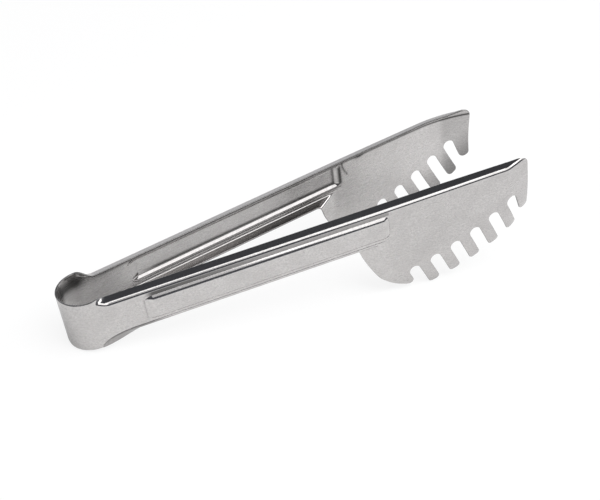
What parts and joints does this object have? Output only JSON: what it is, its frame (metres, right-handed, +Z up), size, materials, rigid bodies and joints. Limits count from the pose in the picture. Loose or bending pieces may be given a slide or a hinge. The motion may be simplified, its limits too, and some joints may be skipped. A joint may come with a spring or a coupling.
{
  "type": "serving tongs",
  "caption": "Sprung one-strip steel tongs: a round bow at the back, two channel arms with raised panels and comb blades for salad or pasta, lying on edge.",
  "frame": {"origin": "on the surface that the tongs lie on, under the middle of their box", "axes": "+X from the bow towards the tips, +Y from the near arm to the far arm, +Z up"},
  "size_m": [0.2028, 0.0526, 0.0544],
  "materials": {
    "stainless": "satin rolled sheet with bright polished bends"
  },
  "bodies": {
    "bow": {"spring_bow": "stainless"},
    "near_side": {"near_shoulder": "stainless", "near_arm": "stainless", "near_blade": "stainless"},
    "far_side": {"far_shoulder": "stainless", "far_arm": "stainless", "far_blade": "stainless"}
  },
  "joints": [
    {"name": "near_squeeze", "type": "hinge", "parent": "bow", "child": "near_side", "pos_m": [-0.09596, -0.00728, 0.01231], "axis": [-0.1728, 0, 0.985], "range_deg": [0, 6.1], "stiffness_Nm_per_rad": 3.9},
    {"name": "far_squeeze", "type": "hinge", "parent": "bow", "child": "far_side", "pos_m": [-0.09596, 0.00728, 0.01231], "axis": [0.1728, 0, -0.985], "range_deg": [0, 6.1], "stiffness_Nm_per_rad": 3.9}
  ]
}
